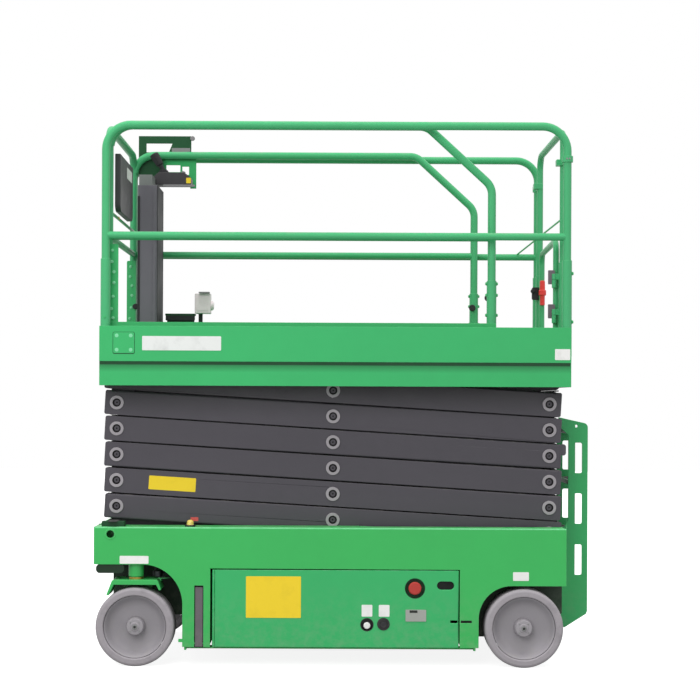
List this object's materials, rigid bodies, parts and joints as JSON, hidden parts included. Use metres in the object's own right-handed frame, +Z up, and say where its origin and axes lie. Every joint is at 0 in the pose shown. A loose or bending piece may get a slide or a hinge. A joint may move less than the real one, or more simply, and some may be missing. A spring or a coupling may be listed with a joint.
{
  "type": "scissor lift",
  "caption": "Self-propelled scissor lift: slab chassis on solid wheels, stacked crossing arms, railed platform with a roll-out deck, entry gate and ladder.",
  "frame": {"origin": "on the ground under the middle of the overall box", "axes": "+Z up, -X towards the steered front end, +X towards the ladder, so -Y is the machine's left side"},
  "size_m": [2.449, 1.15, 2.745],
  "materials": {
    "chassis_green": "satin",
    "platform_green": "satin",
    "arm_grey": "satin",
    "tyre_grey": "matt",
    "rim_grey": "satin",
    "steel": "brushed",
    "rod_chrome": "polished",
    "dark_case": "matt",
    "column_grey": "satin",
    "light_grey": "satin",
    "amber": "gloss",
    "black_case": "matt"
  },
  "bodies": {
    "chassis": {"chassis_frame": "chassis_green", "side_frame_left": "chassis_green", "side_frame_right": "chassis_green", "entry_ladder": "chassis_green", "warning_beacon": "amber", "steering_cylinder": "black_case"},
    "steering_rod": {"steering_rod": "rod_chrome"},
    "platform": {"platform_deck": "platform_green", "platform_side_left": "platform_green", "platform_side_right": "platform_green", "main_rail_left": "platform_green", "main_rail_right": "platform_green", "rear_rail": "platform_green"},
    "entry_gate": {"entry_gate": "platform_green"},
    "extension": {"extension_deck": "platform_green", "extension_rail_left": "platform_green", "extension_rail_right": "platform_green", "extension_front_rail": "platform_green", "front_panel": "dark_case", "control_column": "column_grey", "control_box": "dark_case", "control_guard": "platform_green", "socket_box": "light_grey"},
    "tray_left": {"tray_left": "chassis_green", "hydraulic_unit": "black_case"},
    "tray_right": {"tray_right": "chassis_green", "battery_pack": "black_case"},
    "knuckle_left": {"knuckle_left": "chassis_green"},
    "pothole_guard_left": {"pothole_guard_left": "chassis_green"},
    "wheel_front_left": {"tyre_front_left": "tyre_grey", "rim_front_left": "rim_grey"},
    "wheel_rear_left": {"tyre_rear_left": "tyre_grey", "rim_rear_left": "rim_grey"},
    "knuckle_right": {"knuckle_right": "chassis_green"},
    "pothole_guard_right": {"pothole_guard_right": "chassis_green"},
    "wheel_front_right": {"tyre_front_right": "tyre_grey", "rim_front_right": "rim_grey"},
    "wheel_rear_right": {"tyre_rear_right": "tyre_grey", "rim_rear_right": "rim_grey"},
    "outer_arms_1": {"outer_arms_1": "arm_grey"},
    "inner_arms_1": {"inner_arms_1": "arm_grey"},
    "outer_arms_2": {"outer_arms_2": "arm_grey"},
    "inner_arms_2": {"inner_arms_2": "arm_grey"},
    "outer_arms_3": {"outer_arms_3": "arm_grey"},
    "inner_arms_3": {"inner_arms_3": "arm_grey"},
    "outer_arms_4": {"outer_arms_4": "arm_grey"},
    "inner_arms_4": {"inner_arms_4": "arm_grey"},
    "outer_arms_5": {"outer_arms_5": "arm_grey"},
    "inner_arms_5": {"inner_arms_5": "arm_grey"},
    "outer_arms_6": {"outer_arms_6": "arm_grey"},
    "inner_arms_6": {"inner_arms_6": "arm_grey"},
    "lower_barrel": {"lower_barrel": "arm_grey"},
    "lower_rod": {"lower_rod": "rod_chrome"},
    "upper_barrel": {"upper_barrel": "arm_grey"},
    "upper_rod": {"upper_rod": "rod_chrome"}
  },
  "joints": [
    {"name": "lift", "type": "hinge", "parent": "chassis", "child": "outer_arms_1", "pos_m": [0.998, 0, 0.639], "axis": [0, 1, 0], "range_deg": [0, 58]},
    {"name": "centre_pins_1", "type": "hinge", "parent": "outer_arms_1", "child": "inner_arms_1", "pos_m": [-0.0686, 0, 0.70275], "axis": [0, 1, 0], "range_deg": [-116, 0]},
    {"name": "end_pins_2", "type": "hinge", "parent": "inner_arms_1", "child": "outer_arms_2", "pos_m": [0.998, 0, 0.7665], "axis": [0, 1, 0], "range_deg": [0, 116]},
    {"name": "centre_pins_2", "type": "hinge", "parent": "outer_arms_2", "child": "inner_arms_2", "pos_m": [-0.0686, 0, 0.83025], "axis": [0, 1, 0], "range_deg": [-116, 0]},
    {"name": "end_pins_3", "type": "hinge", "parent": "inner_arms_2", "child": "outer_arms_3", "pos_m": [0.998, 0, 0.894], "axis": [0, 1, 0], "range_deg": [0, 116]},
    {"name": "centre_pins_3", "type": "hinge", "parent": "outer_arms_3", "child": "inner_arms_3", "pos_m": [-0.0686, 0, 0.95775], "axis": [0, 1, 0], "range_deg": [-116, 0]},
    {"name": "end_pins_4", "type": "hinge", "parent": "inner_arms_3", "child": "outer_arms_4", "pos_m": [0.998, 0, 1.0215], "axis": [0, 1, 0], "range_deg": [0, 116]},
    {"name": "centre_pins_4", "type": "hinge", "parent": "outer_arms_4", "child": "inner_arms_4", "pos_m": [-0.0686, 0, 1.08525], "axis": [0, 1, 0], "range_deg": [-116, 0]},
    {"name": "end_pins_5", "type": "hinge", "parent": "inner_arms_4", "child": "outer_arms_5", "pos_m": [0.998, 0, 1.149], "axis": [0, 1, 0], "range_deg": [0, 116]},
    {"name": "centre_pins_5", "type": "hinge", "parent": "outer_arms_5", "child": "inner_arms_5", "pos_m": [-0.0686, 0, 1.21275], "axis": [0, 1, 0], "range_deg": [-116, 0]},
    {"name": "end_pins_6", "type": "hinge", "parent": "inner_arms_5", "child": "outer_arms_6", "pos_m": [0.998, 0, 1.2765], "axis": [0, 1, 0], "range_deg": [0, 116]},
    {"name": "centre_pins_6", "type": "hinge", "parent": "outer_arms_6", "child": "inner_arms_6", "pos_m": [-0.0686, 0, 1.34025], "axis": [0, 1, 0], "range_deg": [-116, 0]},
    {"name": "platform_pins", "type": "hinge", "parent": "inner_arms_6", "child": "platform", "pos_m": [0.998, 0, 1.404], "axis": [0, 1, 0], "range_deg": [0, 58]},
    {"name": "lower_barrel_pin", "type": "hinge", "parent": "inner_arms_1", "child": "lower_barrel", "pos_m": [0.36213, 0, 0.7285], "axis": [0, 1, 0], "range_deg": [0, 123.05]},
    {"name": "lower_rod_slide", "type": "slide", "parent": "lower_barrel", "child": "lower_rod", "axis": [-0.9959, 0, 0.0901], "range_m": [0, 0.34925]},
    {"name": "upper_barrel_pin", "type": "hinge", "parent": "inner_arms_4", "child": "upper_barrel", "pos_m": [0.36213, 0, 1.11099], "axis": [0, 1, 0], "range_deg": [0, 123.05]},
    {"name": "upper_rod_slide", "type": "slide", "parent": "upper_barrel", "child": "upper_rod", "axis": [-0.9959, 0, 0.0901], "range_m": [0, 0.34925]},
    {"name": "steer_left", "type": "hinge", "parent": "chassis", "child": "knuckle_left", "pos_m": [-1.025, -0.5115, 0.43], "axis": [0, 0, 1], "range_deg": [-60, 60]},
    {"name": "steer_right", "type": "hinge", "parent": "chassis", "child": "knuckle_right", "pos_m": [-1.025, 0.5115, 0.43], "axis": [0, 0, 1], "range_deg": [-60, 60]},
    {"name": "steering_rod_slide", "type": "slide", "parent": "chassis", "child": "steering_rod", "axis": [0, 1, 0], "range_m": [-0.0867, 0.0867]},
    {"name": "spin_front_left", "type": "hinge", "parent": "knuckle_left", "child": "wheel_front_left", "pos_m": [-1.025, -0.5115, 0.1905], "axis": [0, 1, 0], "continuous": true},
    {"name": "spin_rear_left", "type": "hinge", "parent": "chassis", "child": "wheel_rear_left", "pos_m": [0.8595, -0.5115, 0.1905], "axis": [0, 1, 0], "continuous": true},
    {"name": "tray_swing_left", "type": "hinge", "parent": "chassis", "child": "tray_left", "pos_m": [-0.643, -0.559, 0.28], "axis": [0, 0, -1], "range_deg": [0, 90]},
    {"name": "guard_fold_left", "type": "hinge", "parent": "chassis", "child": "pothole_guard_left", "pos_m": [-0.08, -0.545, 0.0895], "axis": [-1, 0, 0], "range_deg": [0, 90]},
    {"name": "spin_front_right", "type": "hinge", "parent": "knuckle_right", "child": "wheel_front_right", "pos_m": [-1.025, 0.5115, 0.1905], "axis": [0, 1, 0], "continuous": true},
    {"name": "spin_rear_right", "type": "hinge", "parent": "chassis", "child": "wheel_rear_right", "pos_m": [0.8595, 0.5115, 0.1905], "axis": [0, 1, 0], "continuous": true},
    {"name": "tray_swing_right", "type": "hinge", "parent": "chassis", "child": "tray_right", "pos_m": [-0.643, 0.559, 0.28], "axis": [0, 0, 1], "range_deg": [0, 90]},
    {"name": "guard_fold_right", "type": "hinge", "parent": "chassis", "child": "pothole_guard_right", "pos_m": [-0.08, 0.545, 0.0895], "axis": [1, 0, 0], "range_deg": [0, 90]},
    {"name": "gate_swing", "type": "hinge", "parent": "platform", "child": "entry_gate", "pos_m": [1.018, -0.424, 1.8], "axis": [0, 0, 1], "range_deg": [0, 75]},
    {"name": "extension_slide", "type": "slide", "parent": "platform", "child": "extension", "axis": [-1, 0, 0], "range_m": [0, 0.9]}
  ],
  "couplings": [
    {"joint": "centre_pins_1", "follows": "lift", "ratio": -2},
    {"joint": "end_pins_2", "follows": "lift", "ratio": 2},
    {"joint": "centre_pins_2", "follows": "lift", "ratio": -2},
    {"joint": "end_pins_3", "follows": "lift", "ratio": 2},
    {"joint": "centre_pins_3", "follows": "lift", "ratio": -2},
    {"joint": "end_pins_4", "follows": "lift", "ratio": 2},
    {"joint": "centre_pins_4", "follows": "lift", "ratio": -2},
    {"joint": "end_pins_5", "follows": "lift", "ratio": 2},
    {"joint": "centre_pins_5", "follows": "lift", "ratio": -2},
    {"joint": "end_pins_6", "follows": "lift", "ratio": 2},
    {"joint": "centre_pins_6", "follows": "lift", "ratio": -2},
    {"joint": "platform_pins", "follows": "lift", "ratio": 1},
    {"joint": "lower_barrel_pin", "follows": "lift", "ratio": 2.1214},
    {"joint": "lower_rod_slide", "follows": "lift", "m_per_rad": 0.34491},
    {"joint": "upper_barrel_pin", "follows": "lift", "ratio": 2.1214},
    {"joint": "upper_rod_slide", "follows": "lift", "m_per_rad": 0.34491},
    {"joint": "steer_right", "follows": "steer_left", "ratio": 1},
    {"joint": "steering_rod_slide", "follows": "steer_left", "m_per_rad": 0.0827}
  ]
}
